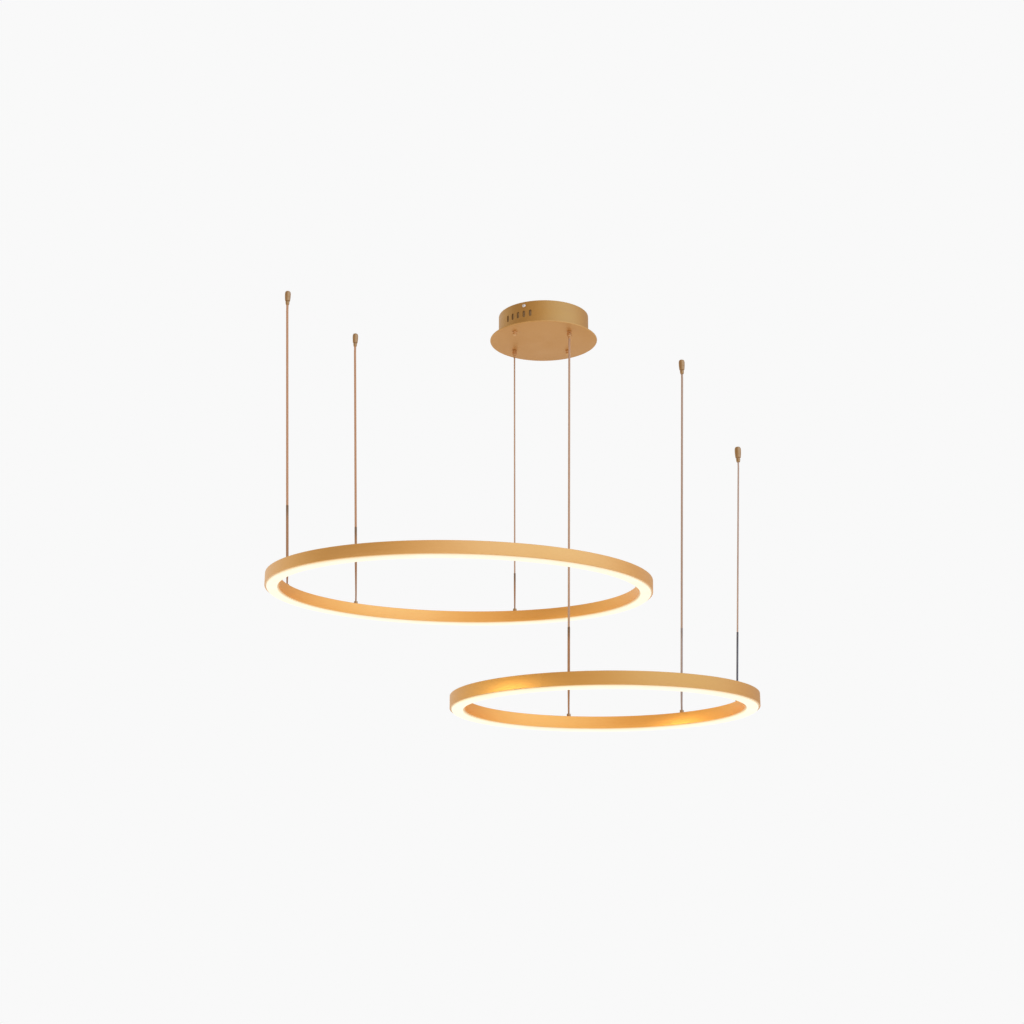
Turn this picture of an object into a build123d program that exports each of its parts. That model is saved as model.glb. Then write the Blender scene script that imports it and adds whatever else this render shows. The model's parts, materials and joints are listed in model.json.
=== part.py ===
from build123d import *
import math
import os

os.makedirs("parts", exist_ok=True)

# ---------------------------------------------------------------- driving dimensions, mm
# Frame: origin at the centre of the canopy's ceiling face, +Z up, the viewer looks along +Y.

# rings: the same channel bent to two diameters
LARGE_R = 400.0  # outer radius of the large ring
SMALL_R = 300.0  # outer radius of the small ring
RING_W = 30.0  # channel width
RING_H = 25.0  # channel height
WALL = 1.8  # side walls of the channel
WEB = 3.0  # top web of the channel, thick enough to take the hangers' threads
LENS_PROUD = 4.0  # how far the opal diffuser stands out below the channel
LARGE_POS = (-183.0, -253.0, -719.0)  # centre of the large channel's lower face
LARGE_TILT = (2.23, 0.745, 0.0)  # it hangs a little higher at the back left, degrees
SMALL_POS = (105.0, -393.0, -982.0)
SMALL_TILT = (0.0, 0.0, 0.0)
LARGE_HANG = {"left_front": 165.4, "left_rear": 129.5, "large_feed": 72.6}  # degrees round the ring
SMALL_HANG = {"small_feed": 101.9, "right_rear": 52.1, "right_front": 17.5}
LARGE_SEAM, SMALL_SEAM = 212.0, 245.0  # where each bent channel's ends meet
SEAM = 0.3
LARGE_CHIPS, SMALL_CHIPS = 96, 72  # light-emitting chips, 25 mm apart

# canopy
PLATE_R, PLATE_T = 125.0, 3.0
DRUM_R, DRUM_WALL, DRUM_H = 105.0, 1.2, 57.0
FLANGE_R = 84.0  # inner radius of the drum's turned-in foot
BOT = -(DRUM_H + PLATE_T)  # lower face of the canopy
OUT_L, OUT_R, OUT_NEAR, OUT_FAR = -68.0, 58.0, -60.0, 60.0  # the four holes in the plate
VENT_ANGLES = (-142.4, -133.6, -125.0, -116.5, -108.0)
VENT_W, VENT_H, VENT_Z = 6.2, 15.6, -29.0
SCREW_ANGLE, SCREW_Z = -116.3, -9.5  # side screw, and its twin opposite
BAR_SLOT, BAR_SLOT_LEN, BAR_SPACING = 5.2, 14.0, 90.0
DISH_T, DISH_H = 1.5, 18.0  # mounting plate: sheet thickness, and how far down its rim reaches
WIRE_R, WIRE_AT = 9.0, (26.0, 34.0)  # hole for the supply cable

# separate ceiling anchors: x, y and height of the face that meets the ceiling
ANCHORS = {
    "left_front": (-580.0, -154.0, 0.0),
    "left_rear": (-452.0, 99.0, 0.0),
    "right_rear": (302.5, -168.0, -171.0),
    "right_front": (398.0, -307.0, -419.0),
}
GRIPS = {"large_feed": (OUT_L, OUT_FAR, BOT), "small_feed": (OUT_R, OUT_NEAR, BOT)}
CABLE_R = {
    "left_front": 2.6,
    "left_rear": 2.6,
    "large_feed": 1.7,
    "small_feed": 2.4,
    "right_rear": 2.3,
    "right_front": 1.7,
}
RELEASE = 2.0  # travel of a gripper's release nose


# ---------------------------------------------------------------- helpers
def save(node, *solids):
    flat = []
    for s in solids:
        flat += list(s.solids())
    shape = flat[0] if len(flat) == 1 else Compound(children=flat)
    export_step(shape, f"parts/{node}.step")


def lathe(points):
    """A solid of revolution about Z from (radius, height) points."""
    return revolve(make_face(Polyline(*[(r, 0, z) for r, z in points], close=True)), Axis.Z)


def rod(r, z0, z1, x=0.0, y=0.0):
    return Pos(x, y, z0) * Cylinder(r, z1 - z0, align=(Align.CENTER, Align.CENTER, Align.MIN))


def tube(r_out, r_in, z0, z1):
    return rod(r_out, z0, z1) - rod(r_in, z0 - 1, z1 + 1)


def hexagon(across, z0, z1, x=0.0, y=0.0):
    flat = RegularPolygon(across / 2, 6, major_radius=False)
    return Pos(x, y, z0) * extrude(flat, z1 - z0)


def box(x0, x1, y0, y1, z0, z1):
    return Pos((x0 + x1) / 2, (y0 + y1) / 2, (z0 + z1) / 2) * Box(x1 - x0, y1 - y0, z1 - z0)


def polar(angle, r, z=0.0):
    a = math.radians(angle)
    return (r * math.cos(a), r * math.sin(a), z)


def arc_path(points, share=0.45):
    """Straight runs joined by tangent arcs, each as large as its two runs allow."""
    v = [Vector(*p) for p in points]
    radii = []
    for a, b, c in zip(v, v[1:], v[2:]):
        turn = math.radians((b - a).get_angle(c - b))
        radii.append(share * min((b - a).length, (c - b).length) / math.tan(turn / 2))
    return FilletPolyline(*v, radius=radii), radii


def cord(name, points, r):
    path, radii = arc_path(points)
    start = Vector(*points[0])
    along = (Vector(*points[1]) - start).normalized()
    solid = sweep(Plane(origin=start, z_dir=along) * Circle(r), path=path)
    want = math.pi * r * r * path.length
    print(
        f"{name}: length {path.length:.1f} mm, radii {[round(q) for q in radii]}, "
        f"volume {solid.volume:.0f} of {want:.0f}"
    )
    return solid


def coil(r, wire, z0, z1, turns):
    """A compression spring about Z between two heights."""
    height = z1 - z0 - wire
    path = Helix(pitch=height / turns, height=height, radius=r)
    start = path @ 0
    solid = sweep(Plane(origin=start, z_dir=path % 0) * Circle(wire / 2), path=path)
    return Pos(0, 0, z0 + wire / 2) * solid


# ---------------------------------------------------------------- rings
def ring_solids(R, seam, chips):
    r_in = R - RING_W
    m = 0.6  # small chamfer on the visible edges
    ridge = 0.6
    channel = lathe(
        [
            (R, m), (R, RING_H - m), (R - m, RING_H), (r_in + m, RING_H), (r_in, RING_H - m), (r_in, m),
            (r_in + m, 0), (r_in + WALL, 0), (r_in + WALL, 8.6), (r_in + WALL + ridge, 9.0),
            (r_in + WALL + ridge, 9.6), (r_in + WALL, 10.0), (r_in + WALL, RING_H - WEB),
            (R - WALL, RING_H - WEB), (R - WALL, 10.0), (R - WALL - ridge, 9.6), (R - WALL - ridge, 9.0),
            (R - WALL, 8.6), (R - WALL, 0), (R - m, 0),
        ]
    )
    cut = Rot(0, 0, seam) * box(r_in - 5, R + 5, -SEAM / 2, SEAM / 2, -1, RING_H + 1)
    channel = channel - cut
    g = 0.15  # the diffuser's fit in the channel
    a, b = r_in + WALL + g, R - WALL - g
    p = LENS_PROUD
    diffuser = lathe(
        [
            (a, 8.3), (a, -p + 2.2), (a + 0.7, -p + 0.7), (a + 2.2, -p), (b - 2.2, -p), (b - 0.7, -p + 0.7),
            (b, -p + 2.2), (b, 8.3), (b - 1.1, 8.3), (b - 1.1, -p + 2.6), (b - 2.6, -p + 2.0),
            (a + 2.6, -p + 2.0), (a + 1.1, -p + 2.6), (a + 1.1, 8.3),
        ]
    )
    mid = R - RING_W / 2
    top = RING_H - WEB
    strip = lathe([(mid - 5, top - 1.0), (mid + 5, top - 1.0), (mid + 5, top), (mid - 5, top)])
    gap = Rot(0, 0, seam) * box(mid - 8, mid + 8, -2, 2, top - 3, top + 2)
    strip = strip - gap
    chip = []
    for i in range(chips):
        ang = seam + 360.0 * (i + 0.5) / chips
        chip.append(Rot(0, 0, ang) * box(mid - 1.4, mid + 1.4, -1.75, 1.75, top - 1.9, top - 1.0))
    half = 6.0 * 400 / R
    plate = lathe([(R - WALL - 1.3, 11.5), (R - WALL - 0.1, 11.5), (R - WALL - 0.1, 20.0), (R - WALL - 1.3, 20.0)])
    wedge = make_face(
        Polyline((0, 0), polar(seam - half / 2, R * 1.2)[:2], polar(seam, R * 1.21)[:2], polar(seam + half / 2, R * 1.2)[:2], close=True)
    )
    plate = plate & extrude(wedge, 30)
    screws = []
    for off in (-half * 0.3, half * 0.3):
        place = Rot(0, 0, seam + off) * Pos(R - WALL - 1.3, 0, 15.75) * Rot(0, 90, 0)
        hole = place * rod(1.55, -1, 2.4)
        plate = plate - hole
        channel = channel - (place * rod(1.55, -1, 2.4))
        screws.append(place * (rod(2.6, -1.66, -0.06) + rod(1.5, -0.06, 2.3)))
    return channel, diffuser, strip, chip, plate, screws


def hanger():
    """Turned stud screwed into the channel's web; the cable goes into its top."""
    z = RING_H
    return lathe(
        [
            (1.3, z - WEB + 0.2), (2.5, z - WEB + 0.2), (2.5, z), (4.2, z), (4.2, z + 5.4), (3.9, z + 6.6),
            (3.5, z + 7.0), (3.3, z + 7.0), (3.3, z + 1.6), (1.3, z + 1.6),
        ]
    )


def ring(prefix, R, place, hang, seam, chips):
    channel, diffuser, strip, chip, plate, screws = ring_solids(R, seam, chips)
    mid = R - RING_W / 2
    studs, tops = [], {}
    for name, ang in hang.items():
        at = Pos(*polar(ang, mid))
        channel = channel - at * rod(2.55, RING_H - WEB - 1, RING_H + 1)
        studs.append(place * at * hanger())
        top = (place * at * Pos(0, 0, RING_H)).position
        tops[name] = (top.X, top.Y, top.Z)
    save(f"{prefix}_channel", place * channel)
    save(f"{prefix}_diffuser", place * diffuser)
    save(f"{prefix}_led_strip", place * strip)
    save(f"{prefix}_led_chips", *[place * c for c in chip])
    save(f"{prefix}_splice_plate", place * plate)
    save(f"{prefix}_splice_screws", *[place * s for s in screws])
    save(f"{prefix}_hangers", *studs)
    return tops


large_at = Pos(*LARGE_POS) * Rot(*LARGE_TILT)
small_at = Pos(*SMALL_POS) * Rot(*SMALL_TILT)
tops = ring("large_ring", LARGE_R, large_at, LARGE_HANG, LARGE_SEAM, LARGE_CHIPS)
tops.update(ring("small_ring", SMALL_R, small_at, SMALL_HANG, SMALL_SEAM, SMALL_CHIPS))

# ---------------------------------------------------------------- canopy
drum = lathe(
    [
        (DRUM_R, 0), (DRUM_R, -DRUM_H + 2.0), (DRUM_R - 0.6, -DRUM_H + 0.6), (DRUM_R - 2.0, -DRUM_H),
        (FLANGE_R, -DRUM_H), (FLANGE_R, -DRUM_H + DRUM_WALL), (DRUM_R - DRUM_WALL - 1.6, -DRUM_H + DRUM_WALL),
        (DRUM_R - DRUM_WALL, -DRUM_H + DRUM_WALL + 1.6), (DRUM_R - DRUM_WALL, 0),
    ]
)
for ang in VENT_ANGLES:
    slot = Pos(DRUM_R, 0, VENT_Z) * Rot(0, 90, 0) * extrude(SlotOverall(VENT_H, VENT_W), 6, both=True)
    drum = drum - Rot(0, 0, ang) * slot
for ang in (SCREW_ANGLE, SCREW_ANGLE + 180):
    drum = drum - Rot(0, 0, ang) * Pos(DRUM_R, 0, SCREW_Z) * Rot(0, 90, 0) * rod(2.2, -6, 6)

outlets = [(OUT_L, OUT_FAR), (OUT_R, OUT_NEAR)]
studs_at = [(OUT_L, OUT_NEAR), (OUT_R, OUT_FAR)]
plate = rod(PLATE_R, BOT, BOT + PLATE_T)
plate = fillet(plate.edges().filter_by(GeomType.CIRCLE).group_by(Axis.Z)[0], 1.6)
plate = fillet(plate.edges().filter_by(GeomType.CIRCLE).group_by(Axis.Z)[-1], 0.8)
for x, y in outlets:
    plate = plate - rod(4.1, BOT - 1, BOT + PLATE_T + 1, x, y)
    drum = drum - rod(4.1, -DRUM_H - 1, -DRUM_H + 4, x, y)
for x, y in studs_at:
    plate = plate - rod(2.1, BOT - 1, BOT + PLATE_T + 1, x, y)
    drum = drum - rod(2.1, -DRUM_H - 1, -DRUM_H + 4, x, y)
driver_holes = [(-64.0, 22.0), (56.0, 22.0), (-64.0, -22.0), (56.0, -22.0)]
for x, y in driver_holes:
    plate = plate - rod(1.55, BOT + 0.8, BOT + PLATE_T + 1, x, y)
save("canopy_drum", drum)
save("canopy_plate", plate)

studs, nuts, caps = [], [], []
for x, y in studs_at:
    studs.append(rod(1.95, BOT - 6.0, -DRUM_H + 8.0, x, y))
    nut = hexagon(7.0, -DRUM_H + DRUM_WALL, -DRUM_H + DRUM_WALL + 3.2, x, y) - rod(2.0, -DRUM_H, -DRUM_H + 9, x, y)
    nuts.append(nut)
    cap = Pos(x, y, BOT) * lathe(
        [(0, -9.6), (1.6, -9.4), (3.1, -8.5), (4.0, -7.0), (4.3, -5.2), (4.3, -2.0), (5.2, -1.4), (5.2, 0), (2.0, 0), (2.0, -6.4), (0, -6.4)]
    )
    caps.append(cap)
save("cover_studs", *studs)
save("stud_nuts", *nuts)
save("cap_nuts", *caps)

# ceiling bar with two slots, and under it the round mounting plate that the drum slips over
bar = box(-60, 60, -13, 13, -2, 0)
bar = fillet(bar.edges().filter_by(Axis.Z), 6)
for x in (-BAR_SPACING / 2, BAR_SPACING / 2):
    bar = bar - Pos(x, 0, -3) * extrude(SlotOverall(BAR_SLOT_LEN, BAR_SLOT), 4)
bar = bar - rod(3.05, -3, 1)
save("ceiling_bar", bar)
dish = lathe(
    [
        (0, -2), (100.7, -2), (101.8, -2.4), (102.2, -3.5), (102.2, -DISH_H), (102.2 - DISH_T, -DISH_H),
        (102.2 - DISH_T, -2 - DISH_T), (0, -2 - DISH_T),
    ]
)
for x in (-BAR_SPACING / 2, BAR_SPACING / 2):  # the ceiling screws' heads pass through these
    dish = dish - Pos(x, 0, -6) * extrude(SlotOverall(21, 12), 6)
dish = dish - rod(3.05, -5, 1)
dish = dish - rod(WIRE_R, -6, 0, *WIRE_AT)  # the supply cable comes in here
for ang in (SCREW_ANGLE, SCREW_ANGLE + 180):
    dish = dish - Rot(0, 0, ang) * Pos(101.2, 0, SCREW_Z) * Rot(0, 90, 0) * rod(2.0, -4, 4)
save("mounting_plate", dish)
save("bar_rivet", rod(3.0, -2 - DISH_T, 0) + rod(5.0, -3.6 - DISH_T, -2 - DISH_T))
screws = []
for ang in (SCREW_ANGLE, SCREW_ANGLE + 180):
    head = Rot(0, 90, 0) * (
        rod(1.95, -8.0, 0)
        + lathe([(0, 0), (4.2, 0), (4.2, 0.7), (3.6, 1.5), (2.3, 2.1), (0, 2.4)])
    )
    cross = Rot(0, 90, 0) * Pos(0, 0, 2.0) * (Box(4.4, 0.9, 1.8) + Box(0.9, 4.4, 1.8))
    screws.append(Rot(0, 0, ang) * Pos(DRUM_R + 0.15, 0, SCREW_Z) * (head - cross))
save("side_screws", *screws)

# drivers, each with two screwed ears
def driver(y):
    body = box(-59, 51, y - 18, y + 18, -DRUM_H, -DRUM_H + 26)
    body = fillet(body.edges().filter_by(Axis.Z), 3)
    body = fillet(body.edges().group_by(Axis.Z)[-1], 1.2)
    ears = box(-69, -58, y - 8, y + 8, -DRUM_H, -DRUM_H + 2) + box(50, 61, y - 8, y + 8, -DRUM_H, -DRUM_H + 2)
    ears = ears - rod(1.7, -DRUM_H - 1, -DRUM_H + 3, -64, y) - rod(1.7, -DRUM_H - 1, -DRUM_H + 3, 56, y)
    return body + ears


save("driver_large_ring", driver(22))
save("driver_small_ring", driver(-22))
save(
    "driver_screws",
    *[rod(1.5, BOT + 0.9, -DRUM_H + 2, x, y) + rod(2.8, -DRUM_H + 2, -DRUM_H + 3.8, x, y) for x, y in driver_holes],
)
block = box(-18, 18, 52, 68, -DRUM_H, -DRUM_H + 13)
block = chamfer(block.edges().group_by(Axis.Z)[-1], 1.0)
for x in (-12, 0, 12):
    block = block - rod(2.6, -DRUM_H + 8, -DRUM_H + 14, x, 56) - rod(2.6, -DRUM_H + 8, -DRUM_H + 14, x, 64)
save("terminal_block", block)

LEAD_TOP = -44.0
leads = [
    cord("lead 1", [(OUT_L, OUT_FAR, LEAD_TOP), (OUT_L, OUT_FAR, -33), (-79, 42, -34), (-80, 22, -43), (-59, 22, -43)], 1.6),
    cord("lead 2", [(OUT_R, OUT_NEAR, LEAD_TOP), (OUT_R, OUT_NEAR, -33), (71, -42, -34), (72, -22, -43), (51, -22, -43)], 1.6),
    cord("lead 3", [(18, 60, -50), (29, 60, -50), (46, 46, -42), (64, 40, -42), (69, 22, -43), (51, 22, -43)], 1.6),
    cord("lead 4", [(-18, 60, -50), (-30, 60, -50), (-36, 44, -28), (-37, 20, -21), (-39, -5, -20), (-38, -22, -20.5), (-38, -22, -31)], 1.6),
]
save("canopy_leads", *leads)

# ---------------------------------------------------------------- grippers
# Each grips its cable until its sprung nose is pushed up.
NOSE_TOP = {}  # where each cable enters its gripper


def anchor_barrel():
    return lathe(
        [
            (2.5, 0), (3.9, 0), (5.1, -0.6), (6.0, -1.8), (6.5, -3.6), (6.6, -5.0), (6.6, -20.5), (6.2, -22.4), (5.4, -24),
            (4.0, -24), (4.0, -22.8), (4.8, -22.8), (4.8, -11.0), (0, -11.0), (0, -9.5), (2.5, -9.0),
        ]
    )


def anchor_nose():
    return lathe(
        [(2.8, -20.0), (4.6, -20.0), (4.6, -22.7), (3.8, -22.7), (3.8, -27.0), (3.6, -30.0), (3.2, -33.0), (2.8, -33.0)]
    )


def grip_barrel():
    return lathe(
        [
            (2.7, 14.0), (3.7, 14.0), (4.0, 13.6), (4.0, 0), (5.2, 0), (5.2, -10.5), (4.6, -12.0), (3.7, -12.0),
            (3.7, -10.8), (4.3, -10.8), (4.3, -1.0), (2.7, -1.0),
        ]
    )


def grip_nose():
    return lathe([(2.6, -8.4), (4.0, -8.4), (4.0, -10.7), (3.4, -10.7), (3.4, -13.5), (3.1, -16.5), (2.6, -16.5)])


collets, grip_nuts = [], []
for name, (x, y, z) in GRIPS.items():
    at = Pos(x, y, z)
    save(f"grip_{name}", at * grip_barrel())
    save(f"release_{name}", at * grip_nose())
    save(f"spring_{name}", at * coil(3.45, 0.6, -8.2, -3.6, 4))
    collets.append(at * tube(4.1, CABLE_R[name] + 0.4, -3.4, -1.2))
    zf = PLATE_T + DRUM_WALL
    grip_nuts.append(at * (hexagon(12.0, zf, zf + 4.0) - rod(4.05, 0, 12)))
    NOSE_TOP[name] = (z - 16.5, LEAD_TOP)
for name, (x, y, z) in ANCHORS.items():
    at = Pos(x, y, z)
    save(f"anchor_{name}", at * anchor_barrel())
    save(f"release_{name}", at * anchor_nose())
    save(f"spring_{name}", at * coil(3.95, 0.6, -19.8, -14.8, 4))
    collet = at * tube(4.6, CABLE_R[name] + 0.4, -14.6, -11.2)
    if name.startswith("left"):
        collets.append(collet)
    else:
        save(f"collet_{name}", collet)
    NOSE_TOP[name] = (z - 33.0, z - 13.0)
save("grip_collets", *collets)
save("grip_nuts", *grip_nuts)

# ---------------------------------------------------------------- cables
# Straight down out of the gripper, one taut run, straight down into the hanger.
for name, (nose, end) in NOSE_TOP.items():
    x, y = (GRIPS | ANCHORS)[name][:2]
    tx, ty, tz = tops[name]
    points = [(x, y, end), (x, y, nose - 7), (tx, ty, tz + 19), (tx, ty, tz + 3.2)]
    print(name, [tuple(round(c, 1) for c in p) for p in points])
    save(f"cable_{name}", cord(f"cable {name}", points, CABLE_R[name]))
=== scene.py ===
import bpy, json, math
from mathutils import Matrix, Vector


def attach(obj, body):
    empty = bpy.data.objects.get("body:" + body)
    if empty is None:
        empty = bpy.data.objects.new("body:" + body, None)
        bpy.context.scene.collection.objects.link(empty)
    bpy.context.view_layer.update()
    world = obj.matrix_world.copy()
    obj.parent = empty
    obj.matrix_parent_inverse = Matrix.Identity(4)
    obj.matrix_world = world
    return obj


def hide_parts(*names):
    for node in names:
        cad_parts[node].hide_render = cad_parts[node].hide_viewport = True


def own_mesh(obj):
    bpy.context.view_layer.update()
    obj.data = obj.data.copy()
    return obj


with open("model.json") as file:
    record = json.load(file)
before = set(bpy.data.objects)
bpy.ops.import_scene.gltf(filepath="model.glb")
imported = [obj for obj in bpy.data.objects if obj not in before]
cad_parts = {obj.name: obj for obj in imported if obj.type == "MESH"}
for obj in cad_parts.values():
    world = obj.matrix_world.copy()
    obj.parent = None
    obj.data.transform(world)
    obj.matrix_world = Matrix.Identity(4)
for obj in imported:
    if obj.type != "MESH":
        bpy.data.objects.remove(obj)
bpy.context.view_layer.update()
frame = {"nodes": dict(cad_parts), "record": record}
nodes = frame["nodes"]
scene = bpy.context.scene
MM = 0.001

# ------------------------------------------------------------------ camera
# The viewer stands below the ceiling and looks slightly up.
camera = bpy.data.cameras.new("camera")
camera.lens = 54.77
camera.sensor_width = 36.0
camera.clip_end = 200.0
eye = bpy.data.objects.new("camera", camera)
scene.collection.objects.link(eye)
eye.location = (-0.074, -3.409, -1.426)
eye.rotation_euler = (math.radians(90 + 15.6), 0.0, 0.0)
scene.camera = eye


# ------------------------------------------------------------------ mesh helpers
def rounded(points, radii, steps=5):
    """A closed outline with its corners rounded. Gives points and how much each lies on a corner."""
    out, edge = [], []
    n = len(points)
    for i, (p, r) in enumerate(zip(points, radii)):
        p, a, b = Vector(p), Vector(points[i - 1]), Vector(points[(i + 1) % n])
        u, v = (a - p).normalized(), (b - p).normalized()
        half = 0.5 * math.acos(max(-1.0, min(1.0, u.dot(v))))
        if r <= 0 or half > math.radians(89):
            out.append(p)
            edge.append(0.0)
            continue
        t = r / math.tan(half)
        centre = p + (u + v).normalized() * (r / math.sin(half))
        s, e = p + u * t - centre, p + v * t - centre
        turn = math.atan2(s.x * e.y - s.y * e.x, s.dot(e))
        for k in range(steps + 1):
            w = turn * k / steps
            out.append(centre + Vector((s.x * math.cos(w) - s.y * math.sin(w), s.x * math.sin(w) + s.y * math.cos(w))))
            edge.append(1.0 if 0 < k < steps else 0.0)
    return out, edge


def mesh_of(name, verts, faces, uvs=None, marks=None, sharp=40):
    me = bpy.data.meshes.new(name)
    me.from_pydata([tuple(v) for v in verts], [], faces)
    me.polygons.foreach_set("use_smooth", [True] * len(me.polygons))
    if uvs is not None:
        layer = me.uv_layers.new(name="UVMap")
        flat = []
        for f in uvs:
            for u, v in f:
                flat += [u, v]
        layer.data.foreach_set("uv", flat)
    for key, values in (marks or {}).items():
        me.attributes.new(key, "FLOAT", "POINT").data.foreach_set("value", values)
    me.set_sharp_from_angle(angle=math.radians(sharp))
    ob = bpy.data.objects.new(name, me)
    scene.collection.objects.link(ob)
    return ob


def lathe(name, profile, edge=None, turns=128, place=None, seam=None, gap=0.0, sharp=40, more=None):
    """Turns a closed (radius, height) outline, in mm, about Z. With a gap it is an open ring with ends.
    The UV is in metres: round the axis at the outline's mean radius, and along the outline."""
    place = place or Matrix.Identity(4)
    pts = [(p[0] * MM, p[1] * MM) for p in profile]
    edge = edge or [0.0] * len(pts)
    area = sum(a[0] * b[1] - b[0] * a[1] for a, b in zip(pts, pts[1:] + pts[:1]))
    more = dict(more or {})
    if area < 0:
        pts, edge = pts[::-1], edge[::-1]
        more = {k: v[::-1] for k, v in more.items()}
    n = len(pts)
    along = [0.0]
    for i in range(n):
        a, b = pts[i], pts[(i + 1) % n]
        along.append(along[-1] + math.hypot(b[0] - a[0], b[1] - a[1]))
    mean = sum(p[0] for p in pts) / n
    top = max(p[0] for p in pts)
    span = 2 * math.pi - (gap * MM / top if gap else 0.0)
    start = math.radians(seam or 0.0) + (gap * MM / top / 2 if gap else 0.0)
    rows = turns + 1 if gap else turns
    verts, marks, across = [], [], []
    lo, hi = min(p[0] for p in pts), max(p[0] for p in pts)
    for i in range(rows):
        w = start + span * i / turns
        c, s = math.cos(w), math.sin(w)
        for (r, z), e in zip(pts, edge):
            verts.append(place @ Vector((r * c, r * s, z)))
            marks.append(e)
            across.append((r - lo) / max(hi - lo, 1e-9))
    faces, uvs = [], []
    for i in range(turns):
        a, b = i * n, ((i + 1) % rows) * n
        u0, u1 = mean * span * i / turns, mean * span * (i + 1) / turns
        for k in range(n):
            q = (k + 1) % n
            if pts[k][0] < 1e-7 and pts[q][0] < 1e-7:
                continue
            faces.append((a + k, b + k, b + q, a + q))
            uvs.append(((u0, along[k]), (u1, along[k]), (u1, along[k + 1]), (u0, along[k + 1])))
    if gap:
        faces.append(tuple(range(n)))
        uvs.append([p for p in pts])
        last = (rows - 1) * n
        faces.append(tuple(last + k for k in reversed(range(n))))
        uvs.append([pts[k] for k in reversed(range(n))])
    named = {"edge": marks, "across": across, **{k: list(v) * rows for k, v in more.items()}}
    ob = mesh_of(name, verts, faces, uvs, named, sharp)
    clean(ob)
    return ob


def clean(ob):
    """Joins the points on the axis, drops faces without area and turns every face outward."""
    import bmesh
    bm = bmesh.new()
    bm.from_mesh(ob.data)
    bmesh.ops.remove_doubles(bm, verts=bm.verts, dist=1e-7)
    bmesh.ops.dissolve_degenerate(bm, edges=bm.edges, dist=1e-8)
    bmesh.ops.recalc_face_normals(bm, faces=bm.faces)
    bm.to_mesh(ob.data)
    bm.free()


def spline_line(points, steps=24):
    """Points along the smooth line that a cable's route gives."""
    cu = bpy.data.curves.new("route", "CURVE")
    cu.dimensions = "3D"
    sp = cu.splines.new("NURBS")
    sp.points.add(len(points) - 1)
    for p, q in zip(sp.points, points):
        p.co = (*q, 1.0)
    sp.order_u = 3
    sp.use_endpoint_u = True
    sp.resolution_u = steps
    holder = bpy.data.objects.new("route", cu)
    me = bpy.data.meshes.new_from_object(holder)
    line = [v.co.copy() for v in me.vertices]
    bpy.data.meshes.remove(me)
    bpy.data.objects.remove(holder)
    bpy.data.curves.remove(cu)
    return line


def tube(name, line, r, sides=20, thin=None):
    """A closed round tube along a line, with ends a little rounded.
    thin is (reach, share): over its last reach metres the tube narrows to that share of its radius."""
    tangents, run = [], [0.0]
    for i in range(len(line)):
        a, b = line[max(i - 1, 0)], line[min(i + 1, len(line) - 1)]
        tangents.append((b - a).normalized())
        if i:
            run.append(run[-1] + (line[i] - line[i - 1]).length)
    last = len(line) - 1
    x = tangents[0].orthogonal().normalized()
    verts, rings, us = [], [], []
    stations = [(0, 0.0), (0, 0.7), (0, 1.0)] + [(i, 1.0) for i in range(1, last)] + [(last, 1.0), (last, 0.7), (last, 0.0)]
    for i, k in stations:
        t = tangents[i]
        x = (x - t * x.dot(t)).normalized()
        y = t.cross(x)
        inset = {0.0: 0.0, 0.7: 0.12, 1.0: 0.3}[k] * r if i in (0, last) else 0.0
        p = line[i] + (t * inset if i == 0 else -t * inset if i == last else Vector())
        wide = 1.0
        if thin and run[last] - run[i] < thin[0]:
            w = 1.0 - (run[last] - run[i]) / thin[0]
            wide = 1.0 - (1.0 - thin[1]) * w * w * (3 - 2 * w)
        row = []
        for s in range(sides):
            w = 2 * math.pi * s / sides
            row.append(len(verts))
            verts.append(p + (x * math.cos(w) + y * math.sin(w)) * (r * wide * max(k, 1e-4)))
        rings.append(row)
        us.append(run[i])
    faces, uvs = [], []
    for j in range(len(rings) - 1):
        for s in range(sides):
            q = (s + 1) % sides
            faces.append((rings[j][s], rings[j][q], rings[j + 1][q], rings[j + 1][s]))
            v0, v1 = 2 * math.pi * r * s / sides, 2 * math.pi * r * (s + 1) / sides
            uvs.append(((us[j], v0), (us[j], v1), (us[j + 1], v1), (us[j + 1], v0)))
    faces.append(tuple(rings[0]))
    uvs.append([(0, 0)] * sides)
    faces.append(tuple(reversed(rings[-1])))
    uvs.append([(0, 0)] * sides)
    ob = mesh_of(name, verts, faces, uvs, None, 60)
    import bmesh
    bm = bmesh.new()
    bm.from_mesh(ob.data)
    bmesh.ops.recalc_face_normals(bm, faces=bm.faces)
    bm.to_mesh(ob.data)
    bm.free()
    return ob


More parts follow.
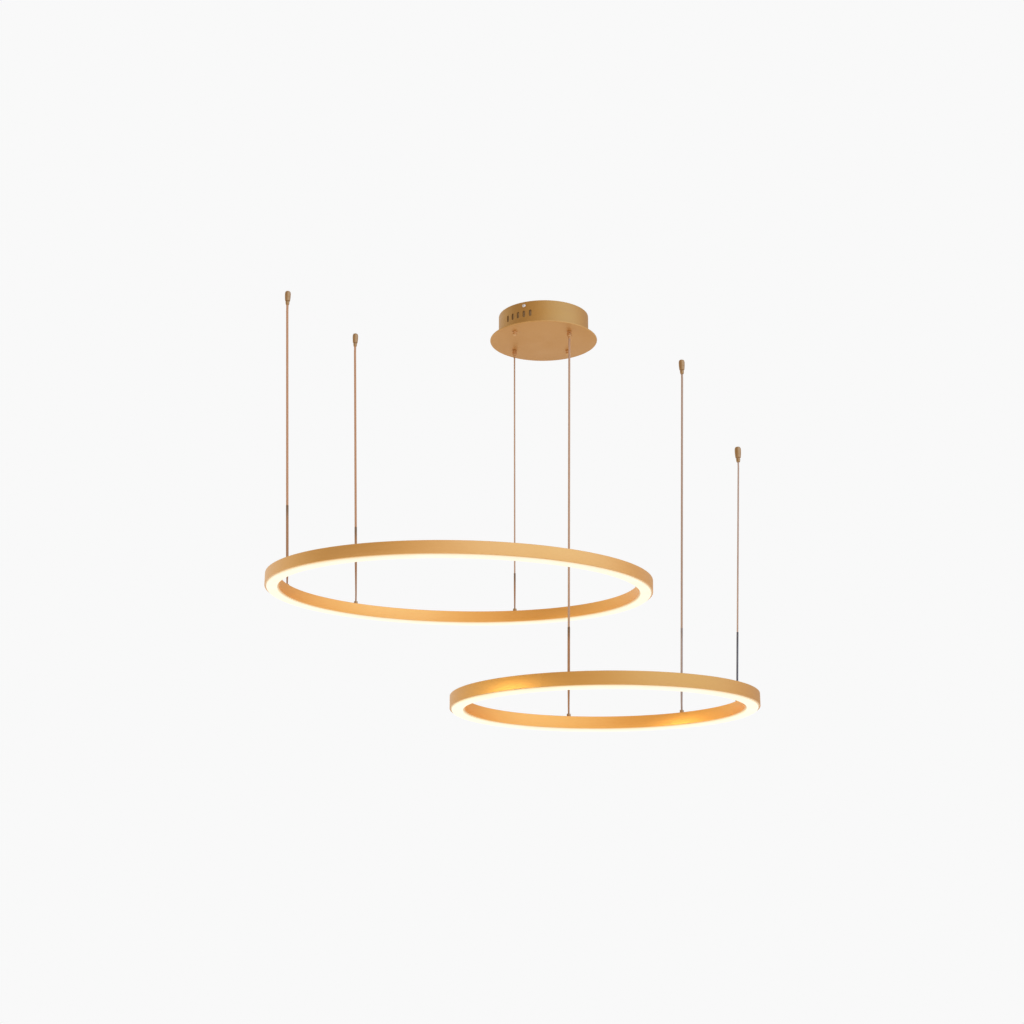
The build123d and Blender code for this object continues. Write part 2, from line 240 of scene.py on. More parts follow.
# ------------------------------------------------------------------ material helpers
class Mat:
    """A small node tree: a Principled surface and what feeds it."""

    def __init__(self, name, coords="UV"):
        self.m = bpy.data.materials.new(name)
        self.m.use_nodes = True
        self.t = self.m.node_tree
        self.bsdf = self.t.nodes["Principled BSDF"]
        self.space = self.add("ShaderNodeTexCoord").outputs[coords]

    def add(self, kind, **settings):
        node = self.t.nodes.new(kind)
        for k, v in settings.items():
            setattr(node, k, v)
        return node

    def link(self, a, b):
        self.t.links.new(a, b)

    def set(self, **values):
        for k, v in values.items():
            self.bsdf.inputs[k.replace("_", " ")].default_value = v
        return self

    def noise(self, scale, stretch=(1, 1, 1), detail=3.0, rough=0.55, turn=0.0):
        place = self.add("ShaderNodeMapping")
        place.inputs["Scale"].default_value = stretch
        place.inputs["Rotation"].default_value = (0, 0, turn)
        self.link(self.space, place.inputs["Vector"])
        tex = self.add("ShaderNodeTexNoise")
        tex.inputs["Scale"].default_value = scale
        tex.inputs["Detail"].default_value = detail
        tex.inputs["Roughness"].default_value = rough
        self.link(place.outputs["Vector"], tex.inputs["Vector"])
        return tex.outputs["Fac"]

    def ramp(self, value, lo, hi, at=(0.3, 0.7)):
        node = self.add("ShaderNodeMapRange")
        node.inputs["From Min"].default_value = at[0]
        node.inputs["From Max"].default_value = at[1]
        node.inputs["To Min"].default_value = lo
        node.inputs["To Max"].default_value = hi
        self.link(value, node.inputs["Value"])
        return node.outputs["Result"]

    def tint(self, value, a, b, at=(0.3, 0.7)):
        node = self.add("ShaderNodeValToRGB")
        node.color_ramp.elements[0].position = at[0]
        node.color_ramp.elements[1].position = at[1]
        node.color_ramp.elements[0].color = (*a, 1)
        node.color_ramp.elements[1].color = (*b, 1)
        self.link(value, node.inputs["Fac"])
        return node.outputs["Color"]

    def blend(self, fac, a, b, kind="MIX", amount=None):
        node = self.add("ShaderNodeMix", data_type="RGBA", blend_type=kind)
        if fac is None:
            node.inputs["Factor"].default_value = amount
        else:
            self.link(fac, node.inputs["Factor"])
        for socket, x in ((node.inputs[6], a), (node.inputs[7], b)):
            if isinstance(x, (tuple, list)):
                socket.default_value = (*x, 1)
            else:
                self.link(x, socket)
        return node.outputs[2]

    def math(self, kind, a, b):
        node = self.add("ShaderNodeMath", operation=kind)
        for socket, x in zip(node.inputs, (a, b)):
            if isinstance(x, (int, float)):
                socket.default_value = x
            else:
                self.link(x, socket)
        return node.outputs[0]

    def mark(self, name):
        return self.add("ShaderNodeAttribute", attribute_name=name).outputs["Fac"]

    def bump(self, height, strength, distance):
        node = self.add("ShaderNodeBump")
        node.inputs["Strength"].default_value = strength
        node.inputs["Distance"].default_value = distance
        self.link(height, node.inputs["Height"])
        self.link(node.outputs["Normal"], self.bsdf.inputs["Normal"])


def gold(name, base, worn, rough=(0.42, 0.52), grain=(6, 700), coords="UV", strength=0.05, cloud=9.0, inner_glow=None):
    """Satin gold: fine brushing along u, slow clouds of tone, edges rubbed a little brighter.
    A ring's inner wall can be painted a warmer, brighter gold: painted glow of the ring's own light falling on it."""
    m = Mat(name, coords)
    fine = m.noise(1.0, (grain[0], grain[1], grain[1]), 2.0, 0.5)
    soft = m.noise(cloud, (0.45, 0.8, 1), 1.5, 0.5)

    def toned(c):
        dark = (c[0] * 0.96, c[1] * 0.92, c[2] * 0.80)
        light = (min(1.0, c[0] * 1.03), c[1] * 1.06, c[2] * 1.16)
        return m.blend(None, m.tint(fine, dark, light, (0.3, 0.7)), m.tint(soft, dark, light, (0.35, 0.65)), "MIX", 0.6)

    colour = toned(base)
    # painted glow: the inner wall blends to a warmer, brighter gold in place of the lens's light falling on it
    if inner_glow:
        colour = m.blend(m.ramp(m.mark("across"), 1.0, 0.0, (0.3, 0.7)), colour, toned(inner_glow))
    edge = m.math("MULTIPLY", m.mark("edge"), m.ramp(m.noise(60.0, (1, 1, 1), 3.0), 0.10, 0.55, (0.4, 0.7)))
    colour = m.blend(edge, colour, worn)
    m.link(colour, m.bsdf.inputs["Base Color"])
    m.link(m.ramp(fine, rough[0], rough[1], (0.25, 0.75)), m.bsdf.inputs["Roughness"])
    m.bump(fine, strength, 0.00012)
    m.set(Metallic=1.0)
    return m.m


def plain(name, base, other, rough=(0.4, 0.6), scale=40.0, metallic=0.0, strength=0.15, depth=0.0002, stretch=(1, 1, 1), coords="Object"):
    """A moulded or plated surface with a fine grain and a slow change of tone."""
    m = Mat(name, coords)
    grain = m.noise(scale * 12, stretch, 3.0, 0.6)
    soft = m.noise(scale, stretch, 2.0, 0.5)
    m.link(m.blend(None, m.tint(soft, base, other), m.tint(grain, base, other), "MIX", 0.35), m.bsdf.inputs["Base Color"])
    m.link(m.ramp(grain, rough[0], rough[1]), m.bsdf.inputs["Roughness"])
    m.bump(grain, strength, depth)
    m.set(Metallic=metallic)
    return m.m


WORN = (0.94, 0.62, 0.30)
# each ring's inner colour is painted glow from its lit lens, not a different finish
gold_ring = {
    "large_ring": gold("gold_large_ring", (0.79, 0.425, 0.130), WORN, inner_glow=(0.91, 0.455, 0.115)),
    "small_ring": gold("gold_small_ring", (0.67, 0.345, 0.092), WORN, inner_glow=(0.92, 0.450, 0.105)),
}
gold_canopy = gold("gold_canopy", (0.53, 0.280, 0.080), (0.66, 0.41, 0.15), rough=(0.44, 0.56), grain=(5, 520), cloud=14.0)
# the plate is the drum's paint with a brighter base: painted light on its down-facing face
gold_plate_lit = gold("gold_plate_lit", (0.595, 0.318, 0.098), (0.70, 0.44, 0.17), rough=(0.44, 0.56), grain=(5, 520), cloud=14.0)
# the grips, their noses and the cap nuts are the same brass as gold_small with a lighter, paler base: painted light
lit_gold_fitting = gold("lit_gold_fitting", (0.68, 0.405, 0.175), (0.74, 0.47, 0.22), rough=(0.46, 0.56), grain=(40, 2400), cloud=60.0)
gold_small = gold("gold_small", (0.43, 0.250, 0.108), (0.56, 0.35, 0.165), rough=(0.34, 0.46), grain=(40, 2400), cloud=60.0)


def diffuser_material():
    m = Mat("opal_lit")
    # evenly lit across its width; up its sides towards the metal the glow turns orange, then brown where it meets the
    # metal: painted shade of the gold lip beside it
    soft = m.noise(18.0, (1, 1, 1), 2.0)
    colour = m.tint(soft, (0.78, 0.715, 0.520), (0.80, 0.745, 0.565))
    # painted shade: orange, then brown emission by the metal in place of the shaded lip
    colour = m.blend(m.ramp(m.mark("down"), 0.0, 1.0, (0.35, 0.90)), colour, (0.86, 0.60, 0.28))
    colour = m.blend(m.ramp(m.mark("down"), 0.0, 1.0, (0.94, 1.0)), colour, (0.46, 0.30, 0.14))
    m.link(colour, m.bsdf.inputs["Emission Color"])
    m.link(m.tint(soft, (0.22, 0.21, 0.18), (0.25, 0.24, 0.21)), m.bsdf.inputs["Base Color"])
    m.link(m.ramp(m.noise(900.0, (1, 1, 1), 2.0), 0.42, 0.55), m.bsdf.inputs["Roughness"])
    m.bump(m.noise(1400.0, (1, 1, 1), 2.0), 0.08, 0.0001)
    m.set(Emission_Strength=1.0)
    return m.m


def jacket(name, dark, light, rough=(0.48, 0.56), band=None):
    """A fine jacket with the lay of the cord inside showing through. A sleeve has a darker band at its top."""
    m = Mat(name)
    twist = m.add("ShaderNodeTexWave", wave_type="BANDS", bands_direction="DIAGONAL")
    twist.inputs["Scale"].default_value = 620.0
    twist.inputs["Distortion"].default_value = 0.6
    twist.inputs["Detail"].default_value = 1.0
    m.link(m.space, twist.inputs["Vector"])
    soft = m.noise(30.0, (1, 1, 1), 2.0)
    colour = m.blend(None, m.tint(twist.outputs["Fac"], dark, light), m.tint(soft, dark, light), "MIX", 0.6)
    if band:
        down = m.add("ShaderNodeSeparateXYZ")
        m.link(m.space, down.inputs[0])
        wavy = m.math("ADD", down.outputs["X"], m.math("MULTIPLY", soft, 0.004))
        colour = m.blend(m.ramp(wavy, 1.0, 0.0, (0.012, 0.034)), colour, band)
    m.link(colour, m.bsdf.inputs["Base Color"])
    m.link(m.ramp(twist.outputs["Fac"], rough[0], rough[1], (0.2, 0.8)), m.bsdf.inputs["Roughness"])
    m.bump(twist.outputs["Fac"], 0.03, 0.0001)
    m.set(Specular_IOR_Level=0.2)
    return m.m


tan_cable = jacket("tan_cable", (0.50, 0.295, 0.160), (0.54, 0.320, 0.176))
ash_cable = jacket("ash_cable", (0.44, 0.285, 0.178), (0.48, 0.310, 0.194))
dusk_cable = jacket("dusk_cable", (0.47, 0.310, 0.205), (0.51, 0.335, 0.220))
rose_cable = jacket("rose_cable", (0.50, 0.250, 0.112), (0.54, 0.272, 0.124))
sleeve_tan = jacket("sleeve_tan", (0.37, 0.178, 0.070), (0.41, 0.198, 0.080), band=(0.22, 0.120, 0.050))
sleeve_brown = jacket("sleeve_brown", (0.36, 0.262, 0.190), (0.42, 0.300, 0.222), band=(0.30, 0.220, 0.160))
sleeve_grey = jacket("sleeve_grey", (0.112, 0.108, 0.106), (0.138, 0.133, 0.130), band=(0.110, 0.095, 0.085))
opal_lit = diffuser_material()

# ------------------------------------------------------------------ rings
def turned(deg_x, deg_y):
    return Matrix.Rotation(math.radians(deg_x), 4, "X") @ Matrix.Rotation(math.radians(deg_y), 4, "Y")


RINGS = {
    "large_ring": (400.0, Matrix.Translation(Vector((-0.183, -0.253, -0.719))) @ turned(2.23, 0.745), 212.0),
    "small_ring": (300.0, Matrix.Translation(Vector((0.105, -0.393, -0.982))), 245.0),
}
HANGERS = {
    "large_ring": {"left_front": 165.4, "left_rear": 129.5, "large_feed": 72.6},
    "small_ring": {"small_feed": 101.9, "right_rear": 52.1, "right_front": 17.5},
}
W, H, WALL, WEB = 30.0, 25.0, 1.8, 3.0


def make(ob, material, body, slot, *replaced):
    ob.data.materials.clear()
    if material:
        ob.data.materials.append(material)
    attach(ob, body)
    if replaced:
        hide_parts(*replaced)
    return ob


for ring, (R, place, seam) in RINGS.items():
    r = R - W
    outline = [
        (R, 0), (R, H), (r, H), (r, 0), (r + WALL, 0), (r + WALL, 8.6), (r + WALL + 0.6, 9.1), (r + WALL + 0.6, 9.6), (r + WALL, 10.1),
        (r + WALL, H - WEB), (R - WALL, H - WEB), (R - WALL, 10.1), (R - WALL - 0.6, 9.6), (R - WALL - 0.6, 9.1), (R - WALL, 8.6), (R - WALL, 0),
    ]
    radii = [0.8, 1.0, 1.0, 0.8, 0.5, 0, 0, 0, 0, 0.6, 0.6, 0, 0, 0, 0, 0.5]
    pts, edge = rounded(outline, radii, 4)
    shell = lathe(f"{ring}_shell", pts, edge, 480, place, seam, 0.1)
    make(shell, gold_ring[ring], ring, "gold_aluminium", f"{ring}_channel")
    a, b = r + WALL + 0.15, R - WALL - 0.15
    p = 4.0  # how far it stands out below the metal
    lens = [
        (a, 8.3), (a, 0.3), (a + 2.2, 0.1), (a + 2.2, -p), (b - 2.2, -p), (b - 2.2, 0.1), (b, 0.3), (b, 8.3), (b - 1.1, 8.3), (b - 1.1, 1.2),
        (b - 4.2, -p + 2.0), (a + 4.2, -p + 2.0), (a + 1.1, 1.2), (a + 1.1, 8.3),
    ]
    pts, edge = rounded(lens, [0.2, 0.1, 0.2, 1.8, 2.2, 0.2, 0.1, 0.2, 0.2, 0.4, 0.6, 0.6, 0.4, 0.2], 6)
    down = [min(1.0, max(0.0, (z + p) / p)) for r_, z in pts]  # how near the metal a point of a side is
    glow = lathe(f"{ring}_opal", pts, edge, 480, place, more={"down": down})
    make(glow, opal_lit, ring, "opal_diffuser", f"{ring}_diffuser")
    stud = [
        (1.3, H - WEB + 0.2), (2.5, H - WEB + 0.2), (2.5, H), (4.2, H), (4.2, H + 1.2), (3.95, H + 1.5), (3.95, H + 1.9), (4.2, H + 2.2),
        (4.2, H + 5.4), (3.9, H + 6.9), (3.3, H + 7.0), (3.3, H + 1.6), (1.3, H + 1.6),
    ]
    pts, edge = rounded(stud, [0, 0, 0, 0.2, 0.1, 0.1, 0.1, 0.1, 0.8, 0.2, 0.1, 0, 0], 3)
    for i, (cable, angle) in enumerate(HANGERS[ring].items()):
        w = math.radians(angle)
        mid = (R - W / 2) * MM
        spot = place @ Matrix.Translation(Vector((mid * math.cos(w), mid * math.sin(w), 0)))
        ob = lathe(f"{ring}_hanger_{cable}", pts, edge, 48, spot)
        make(ob, gold_small, ring, "gold_brass", *([f"{ring}_hangers"] if i == 0 else []))

# ------------------------------------------------------------------ cable ends
ANCHORS = {
    "left_front": (-580.0, -154.0, 0.0),
    "left_rear": (-452.0, 99.0, 0.0),
    "right_rear": (302.5, -168.0, -171.0),
    "right_front": (398.0, -307.0, -419.0),
}
GRIPS = {"large_feed": (-68.0, 60.0, -60.0), "small_feed": (58.0, -60.0, -60.0)}
for name, (x, y, z) in ANCHORS.items():
    spot = Matrix.Translation(Vector((x, y, z)) * MM)
    body = "canopy" if name.startswith("left") else f"anchor_{name}"
    cup = [
        (2.5, 0), (3.6, 0), (4.9, -0.7), (5.9, -2.2), (6.45, -4.4), (6.6, -7.5), (6.45, -14.0), (6.1, -14.4), (6.1, -15.0), (6.35, -15.4), (6.0, -19.5),
        (5.6, -22.6), (5.15, -24), (4.0, -24), (4.0, -22.8), (4.8, -22.8), (4.8, -11.0), (0, -11.0), (0, -9.5), (2.5, -9.0),
    ]
    pts, edge = rounded(cup, [0.2, 0.6, 1.2, 1.5, 1.5, 1.5, 0.15, 0.1, 0.1, 0.15, 1.5, 1.0, 0.4, 0.2, 0, 0, 0, 0, 0, 0], 4)
    make(lathe(f"anchor_{name}_cup", pts, edge, 64, spot), gold_small, body, "gold_brass", f"anchor_{name}")
    nose = [(2.8, -20.0), (4.6, -20.0), (4.6, -22.7), (3.8, -22.7), (3.8, -26.4), (4.4, -26.6), (4.45, -27.4), (4.2, -29.2), (3.8, -31.2), (3.2, -33.0), (2.8, -33.0)]
    pts, edge = rounded(nose, [0, 0.2, 0.2, 0, 0.1, 0.15, 0.3, 0.8, 0.8, 0.2, 0.1], 3)
    make(lathe(f"release_{name}_nose", pts, edge, 48, spot), gold_small, f"release_{name}", "gold_brass", f"release_{name}")
for name, (x, y, z) in GRIPS.items():
    spot = Matrix.Translation(Vector((x, y, z)) * MM)
    barrel = [
        (2.7, 14.0), (4.0, 14.0), (4.0, 0), (5.2, 0), (5.2, -1.2), (4.9, -1.5), (4.9, -1.9), (5.2, -2.2), (5.2, -10.5), (4.6, -12.0), (3.7, -12.0),
        (3.7, -10.8), (4.3, -10.8), (4.3, -1.0), (2.7, -1.0),
    ]
    pts, edge = rounded(barrel, [0.1, 0.3, 0, 0.2, 0.1, 0.1, 0.1, 0.1, 0.8, 0.4, 0.2, 0, 0, 0, 0], 3)
    make(lathe(f"grip_{name}_barrel", pts, edge, 56, spot), lit_gold_fitting, "canopy", "gold_brass", f"grip_{name}")
    nose = [(2.6, -8.4), (4.0, -8.4), (4.0, -10.7), (3.4, -10.7), (3.4, -13.5), (3.1, -16.5), (2.6, -16.5)]
    pts, edge = rounded(nose, [0, 0.2, 0.2, 0, 0.6, 0.25, 0.1], 3)
    make(lathe(f"release_{name}_nose", pts, edge, 48, spot), lit_gold_fitting, f"release_{name}", "gold_brass", f"release_{name}")

# ------------------------------------------------------------------ cables
# Each route runs straight down out of its gripper, taut to the ring, and straight down into its hanger, in metres.
# A sliding anchor draws cable up with it: that stretch is a second piece, inside the cord until the anchor moves.
CABLES = {
    "left_front": ("large_ring", 0.0052, [
        (-0.58000, -0.15400, -0.01300), (-0.58000, -0.15400, -0.04000), (-0.57905, -0.15412, -0.06398),
        (-0.55615, -0.15708, -0.64242), (-0.55520, -0.15720, -0.66640), (-0.55520, -0.15720, -0.68220)], None),
    "left_rear": ("large_ring", 0.0052, [
        (-0.45200, 0.09900, -0.01300), (-0.45200, 0.09900, -0.04000), (-0.45106, 0.09684, -0.06388),
        (-0.42844, 0.04496, -0.63642), (-0.42750, 0.04280, -0.66030), (-0.42750, 0.04280, -0.67610)], None),
    "large_feed": ("large_ring", 0.0034, [
        (-0.06800, 0.06000, -0.04400), (-0.06800, 0.06000, -0.08350), (-0.06799, 0.06143, -0.09903),
        (-0.06761, 0.11177, -0.64667), (-0.06760, 0.11320, -0.66220), (-0.06760, 0.11320, -0.67800)], None),
    "small_feed": ("small_ring", 0.0048, [
        (0.05800, -0.06000, -0.04400), (0.05800, -0.06000, -0.08350), (0.05769, -0.06144, -0.10625),
        (0.04651, -0.11266, -0.91525), (0.04620, -0.11410, -0.93800), (0.04620, -0.11410, -0.95380)], None),
    "right_rear": ("small_ring", 0.0046, [
        (0.30250, -0.16800, -0.21100), (0.30180, -0.16800, -0.23379),
        (0.28080, -0.16810, -0.91521), (0.28010, -0.16810, -0.93800), (0.28010, -0.16810, -0.95380)], [
        (0.30250, -0.16800, -0.18400), (0.30250, -0.16800, -0.21100), (0.30180, -0.16800, -0.23379), (0.29702, -0.16802, -0.38892)]),
    "right_front": ("small_ring", 0.0034, [
        (0.39800, -0.30700, -0.45900), (0.39720, -0.30701, -0.47698),
        (0.37760, -0.30729, -0.92002), (0.37680, -0.30730, -0.93800), (0.37680, -0.30730, -0.95380)], [
        (0.39800, -0.30700, -0.43200), (0.39800, -0.30700, -0.45900), (0.39720, -0.30701, -0.47698), (0.37921, -0.30727, -0.88358)]),
}
# The lowest stretch of each cable is in a close sleeve: its length, how much wider it is, its colour, and how it narrows to its foot.
JACKETS = {"left_front": rose_cable, "left_rear": rose_cable, "right_rear": ash_cable, "right_front": dusk_cable}
SLEEVES = {
    "left_front": (0.180, 0.00020, sleeve_tan, (0.050, 0.60)),
    "left_rear": (0.183, 0.00020, sleeve_tan, (0.130, 0.62)),
    "large_feed": (0.087, 0.00050, sleeve_tan, (0.060, 0.75)),
    "small_feed": (0.194, 0.00040, sleeve_tan, (0.100, 0.66)),
    "right_rear": (0.178, 0.00010, sleeve_brown, (0.060, 0.80)),
    "right_front": (0.142, 0.00030, sleeve_grey, (0.040, 0.90)),
}


def tail(line, length):
    """The last stretch of a line."""
    out = [line[-1]]
    for b, a in zip(line[:0:-1], line[-2::-1]):
        step = (b - a).length
        if step >= length:
            out.append(b.lerp(a, length / step))
            break
        out.append(a)
        length -= step
    return out[::-1]


for name, (ring, thick, route, drawn) in CABLES.items():
    line = spline_line(route)
    ob = tube(f"cable_{name}_cord", line, thick / 2, thin=(SLEEVES[name][0] * 0.98, 0.5))
    make(ob, JACKETS.get(name, tan_cable), "canopy", "tan_cable", f"cable_{name}")
    reach, more, finish, thin = SLEEVES[name]
    sleeve = make(tube(f"cable_{name}_sleeve", tail(line, reach), thick / 2 + more, thin=thin), finish, "canopy", "tan_cable")
    if drawn:
        upper = tube(f"cable_{name}_upper", spline_line(drawn), thick / 2 - 0.00004)
        make(upper, JACKETS[name], f"anchor_{name}", "tan_cable")
    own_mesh(ob)
    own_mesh(sleeve)

# ------------------------------------------------------------------ canopy
PLATE_R, DRUM_R, DRUM_WALL, DRUM_H, BOT = 125.0, 105.0, 1.2, 57.0, -60.0


def cut(ob, cutters):
    for c in cutters:
        mod = ob.modifiers.new("cut", "BOOLEAN")
        mod.operation = "DIFFERENCE"
        mod.solver = "EXACT"
        mod.object = c
    bpy.context.view_layer.update()
    dg = bpy.context.evaluated_depsgraph_get()
    me = bpy.data.meshes.new_from_object(ob.evaluated_get(dg))
    ob.modifiers.clear()
    old = ob.data
    ob.data = me
    bpy.data.meshes.remove(old)
    for c in cutters:
        d = c.data
        bpy.data.objects.remove(c)
        bpy.data.meshes.remove(d)
    me.set_sharp_from_angle(angle=math.radians(35))


def prism(name, outline, depth, place):
    """A straight-sided block from a flat outline, in mm, for cutting."""
    n = len(outline)
    verts = [place @ Vector((x * MM, y * MM, -depth * MM)) for x, y in outline] + [place @ Vector((x * MM, y * MM, depth * MM)) for x, y in outline]
    faces = [tuple(reversed(range(n))), tuple(range(n, 2 * n))] + [(i, (i + 1) % n, n + (i + 1) % n, n + i) for i in range(n)]
    return mesh_of(name, verts, faces)


def slot_outline(length, width, steps=12):
    r, h = width / 2, length / 2 - width / 2
    out = [(h + r * math.cos(w), r * math.sin(w)) for w in [math.pi * (k / steps - 0.5) for k in range(steps + 1)]]
    return out + [(-x, -y) for x, y in out]


def circle(r, steps=32):
    return [(r * math.cos(2 * math.pi * k / steps), r * math.sin(2 * math.pi * k / steps)) for k in range(steps)]


drum_profile = [
    (DRUM_R, 0), (DRUM_R, -DRUM_H), (84.0, -DRUM_H), (84.0, -DRUM_H + DRUM_WALL), (DRUM_R - DRUM_WALL, -DRUM_H + DRUM_WALL), (DRUM_R - DRUM_WALL, 0),
]
pts, edge = rounded(drum_profile, [0.35, 1.8, 0.3, 0.3, 0.8, 0.35], 5)
drum = lathe("canopy_drum_shell", pts, edge, 256)
cutters = []
out = Matrix.Rotation(math.radians(90), 4, "Y")
for a in (-142.4, -133.6, -125.0, -116.5, -108.0):
    at = Matrix.Rotation(math.radians(a), 4, "Z") @ Matrix.Translation(Vector((DRUM_R, 0, -29.0)) * MM) @ out
    cutters.append(prism("slot", slot_outline(15.6, 6.2), 6, at))
for a in (-116.3, 63.7):
    at = Matrix.Rotation(math.radians(a), 4, "Z") @ Matrix.Translation(Vector((DRUM_R, 0, -9.5)) * MM) @ out
    cutters.append(prism("hole", circle(2.2), 6, at))
for x, y, r in ((-68, 60, 4.1), (58, -60, 4.1), (-68, -60, 2.1), (58, 60, 2.1)):
    cutters.append(prism("hole", circle(r), 4, Matrix.Translation(Vector((x, y, -DRUM_H)) * MM)))
cut(drum, cutters)
make(drum, gold_canopy, "canopy", "gold_steel", "canopy_drum")

plate_profile = [(0, BOT), (PLATE_R, BOT), (PLATE_R, BOT + 3), (0, BOT + 3)]
pts, edge = rounded(plate_profile, [0, 1.6, 0.8, 0], 6)
plate = lathe("canopy_plate_disc", pts, edge, 256)
cutters = []
for x, y, r in ((-68, 60, 4.1), (58, -60, 4.1), (-68, -60, 2.1), (58, 60, 2.1)):
    cutters.append(prism("hole", circle(r), 4, Matrix.Translation(Vector((x, y, BOT + 1.5)) * MM)))
cut(plate, cutters)
make(plate, gold_plate_lit, "canopy", "gold_steel", "canopy_plate")

# a dark brown strip with a fine grain behind the vents: painted shade of the drum's inside, seen through them
shade_strip = lathe("vent_shade_strip", [(102.6, -40), (103.1, -40), (103.1, -19.5), (102.6, -19.5)], None, 64, None, 55.0, 2 * math.pi * 103.1 * (1 - 55 / 360))
make(shade_strip, None, "canopy", "gold_steel")

# the round plate that the drum slips over, closing its top
T = 1.5
dish_profile = [(0, -2), (102.2, -2), (102.2, -18), (102.2 - T, -18), (102.2 - T, -2 - T), (0, -2 - T)]
pts, edge = rounded(dish_profile, [0, 1.6, 0.3, 0.3, 0.6, 0], 5)
dish = lathe("mounting_plate_dish", pts, edge, 256)
cutters = [prism("slot", slot_outline(21.0, 12.0), 6, Matrix.Translation(Vector((x, 0, -3)) * MM)) for x in (-45, 45)]
cutters.append(prism("hole", circle(3.05), 6, Matrix.Translation(Vector((0, 0, -3)) * MM)))
cutters.append(prism("hole", circle(9.0), 6, Matrix.Translation(Vector((26, 34, -3)) * MM)))
for a in (-116.3, 63.7):
    at = Matrix.Rotation(math.radians(a), 4, "Z") @ Matrix.Translation(Vector((101.2, 0, -9.5)) * MM) @ out
    cutters.append(prism("hole", circle(2.0), 4, at))
cut(dish, cutters)

# cap nuts under the plate, with flats under the dome
for i, (x, y) in enumerate(((-68, -60), (58, 60))):
    spot = Matrix.Translation(Vector((x, y, BOT)) * MM)
    cap = [(0, -9.6), (1.6, -9.4), (3.1, -8.5), (4.0, -7.0), (4.3, -5.2), (4.3, -2.0), (5.2, -1.4), (5.2, 0), (2.0, 0), (2.0, -6.4), (0, -6.4)]
    pts, edge = rounded(cap, [0, 1.2, 1.5, 1.5, 1.0, 0.4, 0.3, 0.1, 0, 0, 0], 3)
    make(lathe(f"cap_nut_{i + 1}", pts, edge, 48, spot), lit_gold_fitting, "canopy", "gold_brass", *(["cap_nuts"] if i == 0 else []))

# ------------------------------------------------------------------ finishes of the carried-over pieces
zinc = plain("zinc_plate", (0.50, 0.50, 0.48), (0.66, 0.66, 0.64), (0.30, 0.46), 30, 1.0, 0.2, 0.0002)
make(dish, zinc, "canopy", "zinc_steel", "mounting_plate")
nickel = plain("nickel_plate", (0.72, 0.66, 0.58), (0.84, 0.79, 0.72), (0.22, 0.34), 60, 1.0, 0.15, 0.0001)
white_case = plain("driver_case", (0.74, 0.74, 0.72), (0.82, 0.82, 0.80), (0.45, 0.6), 25, 0.0, 0.3, 0.0003)
nylon = plain("terminal_nylon", (0.74, 0.71, 0.60), (0.82, 0.79, 0.69), (0.35, 0.5), 30, 0.0, 0.2, 0.0002)
black = plain("lead_jacket", (0.016, 0.016, 0.018), (0.030, 0.030, 0.032), (0.38, 0.55), 40, 0.0, 0.2, 0.0002)
brass = plain("turned_brass", (0.66, 0.45, 0.18), (0.78, 0.56, 0.26), (0.25, 0.4), 60, 1.0, 0.15, 0.0001)
strip_white = plain("circuit_strip", (0.80, 0.79, 0.74), (0.88, 0.87, 0.83), (0.4, 0.55), 50, 0.0, 0.2, 0.0001)
# dark brown: painted shade of the drum's inside behind the vents
shade_brown = plain("vent_shade_strip", (0.20, 0.105, 0.030), (0.30, 0.165, 0.050), (0.5, 0.65), 160, 0.0, 0.5, 0.0004)
shade_strip.data.materials.append(shade_brown)
chip = plain("chip_phosphor", (0.90, 0.62, 0.12), (0.96, 0.74, 0.22), (0.25, 0.4), 200, 0.0, 0.1, 0.0001)

# each spring is wound of round wire; its coil here is fixed and does not close up when its nose is pushed in
for name, (x, y, z) in (ANCHORS | GRIPS).items():
    r, low, high = (3.95, -19.5, -15.1) if name in ANCHORS else (3.45, -7.9, -3.9)
    turns, steps = 4, 32
    wind = []
    for i in range(turns * steps + 1):
        w = 2 * math.pi * i / steps
        wind.append(Vector((x + r * math.cos(w), y + r * math.sin(w), z + low + (high - low) * i / (turns * steps))) * MM)
    ob = tube(f"spring_{name}_coil", wind, 0.3 * MM, sides=12)
    make(ob, zinc, f"anchor_{name}" if name.startswith("right") else "canopy", "zinc_steel", f"spring_{name}")
    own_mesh(ob)

by_slot = {
    "zinc_steel": zinc, "nickel_screw": nickel, "driver_plastic": white_case, "terminal_plastic": nylon, "lead_insulation": black,
    "brass_inside": brass, "circuit_strip": strip_white, "phosphor": chip, "gold_brass": gold_small, "gold_steel": gold_canopy,
    "gold_aluminium": gold_ring["large_ring"], "opal_diffuser": opal_lit, "tan_cable": tan_cable,
}
slot_of = {s["node"]: s["material_slot"] for s in frame["record"]["subparts"]}
for name, ob in nodes.items():
    ob.data.materials.clear()
    ob.data.materials.append(by_slot[slot_of[name]])

# ------------------------------------------------------------------ studio
def floor_material():
    m = Mat("studio_floor", "Object")
    soft = m.noise(0.6, (1, 1, 1), 2.0)
    m.link(m.tint(soft, (0.86, 0.86, 0.855), (0.89, 0.89, 0.885)), m.bsdf.inputs["Base Color"])
    m.link(m.ramp(m.noise(30.0), 0.7, 0.85), m.bsdf.inputs["Roughness"])
    m.set(**{"Specular_IOR_Level": 0.2, "Emission_Color": (1.0, 0.86, 0.68, 1), "Emission_Strength": 0.22})
    return m.m


n = 96
rim = [(26.0 * math.cos(2 * math.pi * k / n), 26.0 * math.sin(2 * math.pi * k / n), -4.6) for k in range(n)]
floor = mesh_of("studio_floor", rim, [tuple(range(n))])
floor.data.materials.append(floor_material())

world = bpy.data.worlds.new("studio")
scene.world = world
world.use_nodes = True
wt = world.node_tree
wt.nodes.clear()


def wnode(kind, **settings):
    node = wt.nodes.new(kind)
    for k, v in settings.items():
        setattr(node, k, v)
    return node


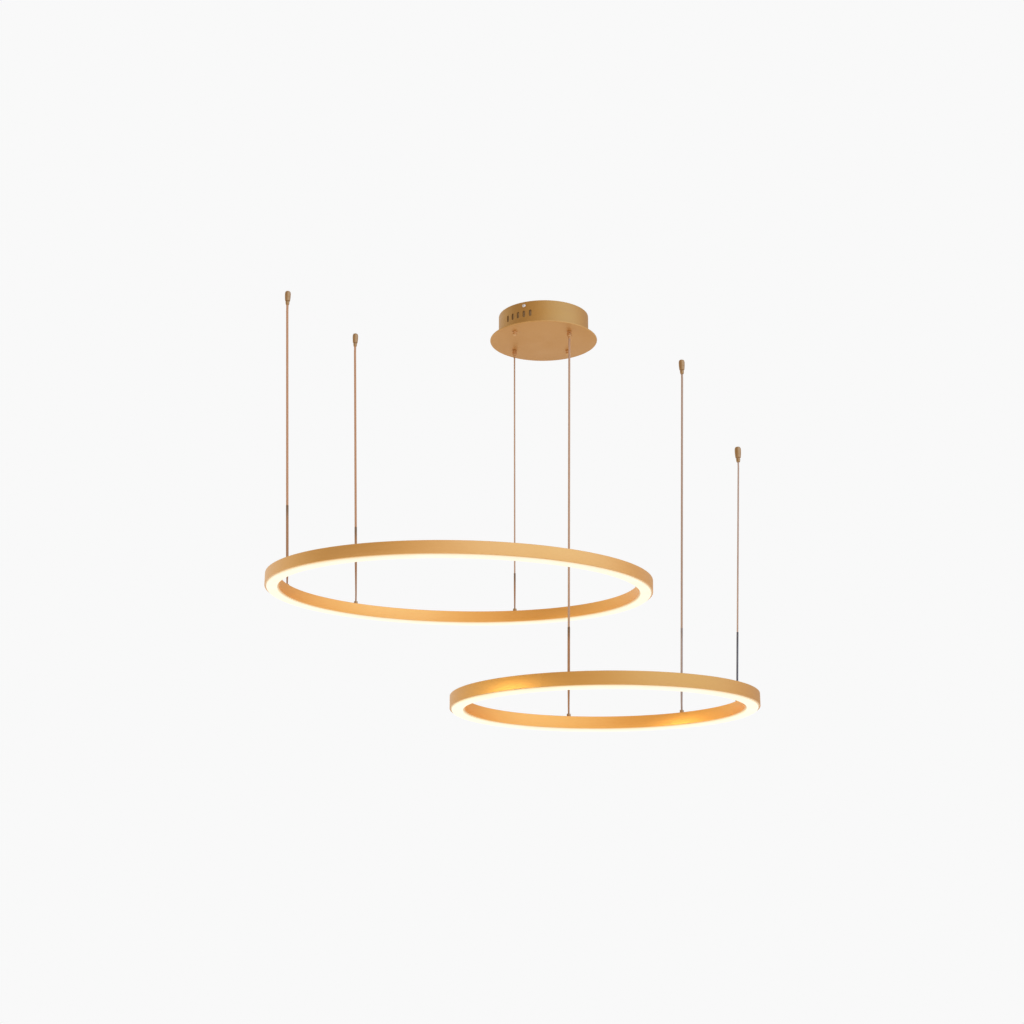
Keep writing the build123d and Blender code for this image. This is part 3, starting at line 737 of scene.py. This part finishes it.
def lobe(towards, start, end):
    """0 away from one side of the room, 1 towards it."""
    facing = wnode("ShaderNodeVectorMath", operation="DOT_PRODUCT")
    wt.links.new(sky.outputs["Generated"], facing.inputs[0])
    facing.inputs[1].default_value = Vector(towards).normalized()
    node = wnode("ShaderNodeMapRange", interpolation_type="SMOOTHSTEP")
    node.inputs["From Min"].default_value = start
    node.inputs["From Max"].default_value = end
    wt.links.new(facing.outputs["Value"], node.inputs["Value"])
    return node.outputs["Result"]


def added(base, amount, colour):
    node = wnode("ShaderNodeMix", data_type="RGBA", blend_type="ADD")
    wt.links.new(amount, node.inputs["Factor"])
    if isinstance(base, tuple):
        node.inputs[6].default_value = (*base, 1)
    else:
        wt.links.new(base, node.inputs[6])
    node.inputs[7].default_value = (*colour, 1)
    return node.outputs[2]


# A warm room with one broad bright side, in front of the object and to the right, and a lesser one behind it to the left.
sky = wnode("ShaderNodeTexCoord")
FRONT, BACK = (0.77, -0.61, 0.26), (-0.72, 0.66, 0.20)
room = added((0.52, 0.475, 0.44), lobe(FRONT, -0.5, 0.9), (0.45, 0.45, 0.50))
room = added(room, lobe(FRONT, 0.45, 1.0), (0.16, 0.50, 1.25))
room = added(room, lobe(BACK, 0.60, 1.0), (0.42, 0.55, 0.70))
out_node = wnode("ShaderNodeOutputWorld")
seen = wnode("ShaderNodeBackground")
seen.inputs["Color"].default_value = (0.947, 0.947, 0.947, 1)
light = wnode("ShaderNodeBackground")
wt.links.new(room, light.inputs["Color"])
path = wnode("ShaderNodeLightPath")
mix = wnode("ShaderNodeMixShader")
wt.links.new(path.outputs["Is Camera Ray"], mix.inputs["Fac"])
wt.links.new(light.outputs["Background"], mix.inputs[1])
wt.links.new(seen.outputs["Background"], mix.inputs[2])
wt.links.new(mix.outputs["Shader"], out_node.inputs["Surface"])


def area(name, at, look, size, power, colour, spread):
    data = bpy.data.lights.new(name, "AREA")
    data.shape = "RECTANGLE"
    data.size, data.size_y = size
    data.energy = power
    data.color = colour
    data.spread = math.radians(spread)
    ob = bpy.data.objects.new(name, data)
    scene.collection.objects.link(ob)
    ob.location = at
    ob.rotation_euler = (Vector(look) - Vector(at)).to_track_quat("-Z", "Y").to_euler()
    ob.visible_camera = False


area("low_left", (-1.45, -1.00, -1.06), (0.00, -0.55, -0.975), (1.00, 0.14), 0.30, (1.0, 0.92, 0.60), 24)

scene.view_settings.view_transform = "Standard"
scene.view_settings.look = "None"
scene.view_settings.exposure = 0.0
scene.view_settings.gamma = 1.0
